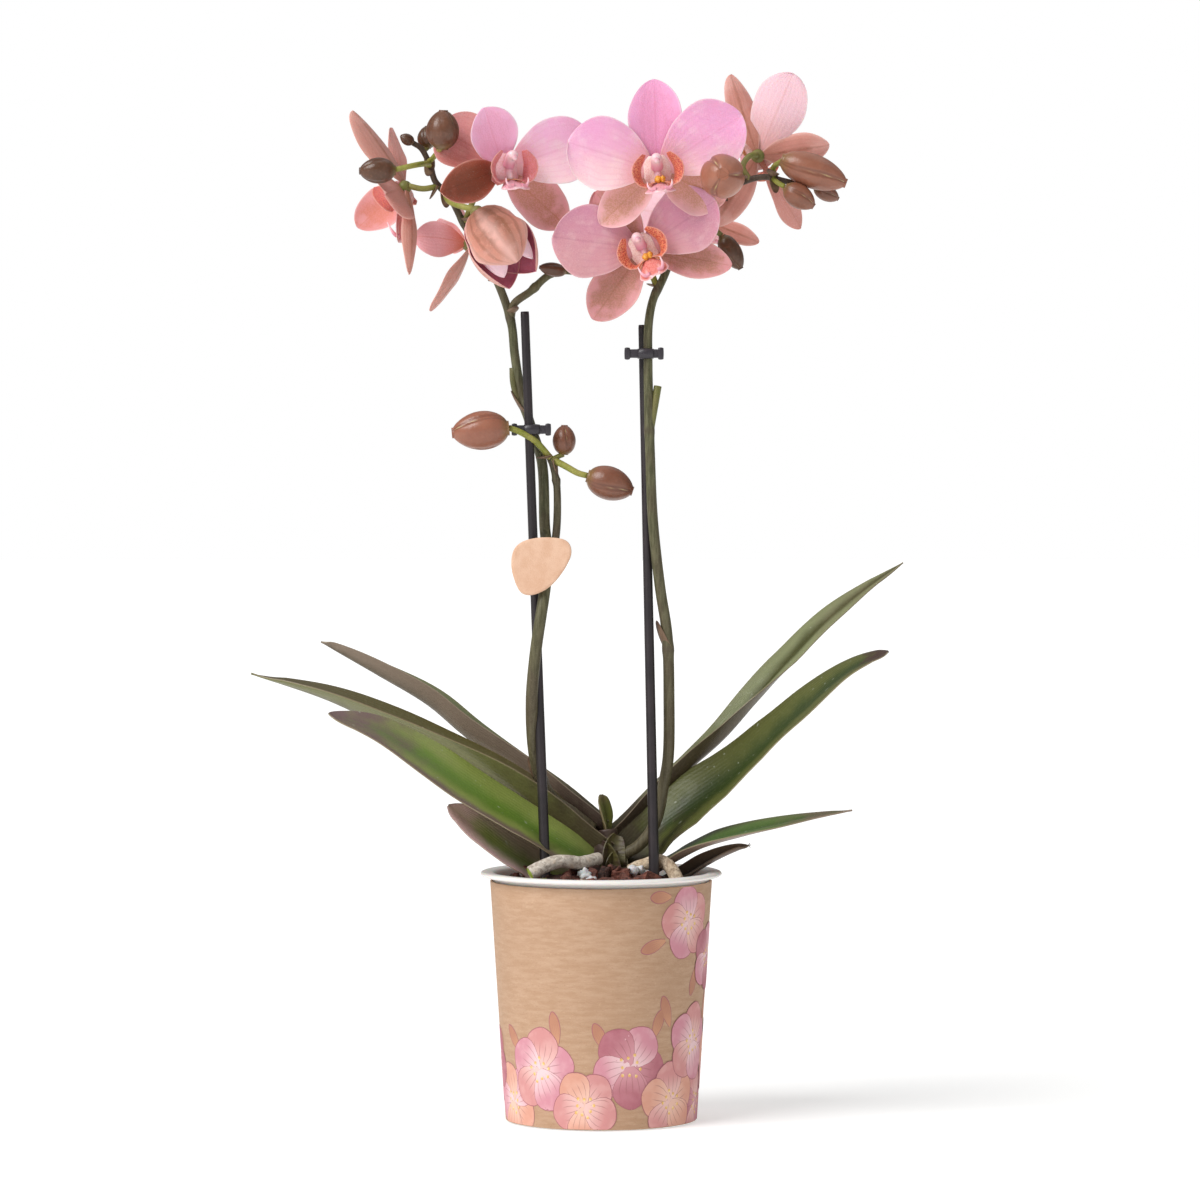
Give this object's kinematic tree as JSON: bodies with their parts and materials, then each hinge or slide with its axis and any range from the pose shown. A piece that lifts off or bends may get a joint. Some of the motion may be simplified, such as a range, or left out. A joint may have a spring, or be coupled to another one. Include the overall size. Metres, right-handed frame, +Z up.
{
  "type": "potted orchid",
  "caption": "Small moth orchid in a flared plastic pot with a card sleeve: arched flower stems on stakes, pink blooms and buds, strap leaves and bark.",
  "frame": {"origin": "centre of the pot's flat base, where it rests", "axes": "+Z up along the pot's axis, -Y towards the side the blooms face, +X to the right from that side"},
  "size_m": [0.2463, 0.095, 0.3901],
  "materials": {
    "pot": "smooth satin plastic",
    "card": "uncoated brown card",
    "bark": "rough broken bark",
    "crown": "dry leaf bases",
    "leaf": "waxy",
    "root": "dry papery skin",
    "stem": "smooth, slightly waxy",
    "stake": "satin plastic",
    "clip": "satin plastic",
    "tag": "uncoated pale card",
    "petal": "soft, fine grained",
    "lip": "satin",
    "bud": "soft satin"
  },
  "bodies": {
    "root": {"bloom_a": "petal", "bloom_a_lip": "lip", "bloom_b": "petal", "bloom_b_lip": "lip", "bloom_c": "petal", "bloom_c_lip": "lip", "bloom_d": "petal", "bloom_d_lip": "lip", "bloom_e": "petal", "bloom_f": "petal", "bloom_g": "petal", "bloom_g_lip": "lip", "bloom_h": "petal", "bloom_h_lip": "lip", "stake_left": "stake", "stake_right": "stake", "crown": "crown", "leaf_new": "leaf", "leaf_left_1": "leaf", "leaf_left_2": "leaf", "leaf_left_3": "leaf", "leaf_left_4": "leaf", "leaf_right_1": "leaf", "leaf_right_2": "leaf", "leaf_right_3": "leaf", "leaf_right_4": "leaf", "spike_left": "stem", "spike_right": "stem", "bud_left_1": "bud", "bud_left_2": "bud", "bud_left_3": "bud", "bud_left_4": "bud", "bud_right_1": "bud", "bud_right_2": "bud", "bud_right_3": "bud", "bud_right_4": "bud", "bud_right_5": "bud", "bud_low_1": "bud", "bud_low_2": "bud", "bud_low_3": "bud", "bud_side": "bud", "clip_left": "clip", "clip_right": "clip", "tag": "tag", "root_left": "root", "root_stub": "root", "root_mid": "root", "root_right": "root", "root_back": "root", "pot": "pot", "wrap": "card", "bark": "bark"}
  },
  "joints": []
}
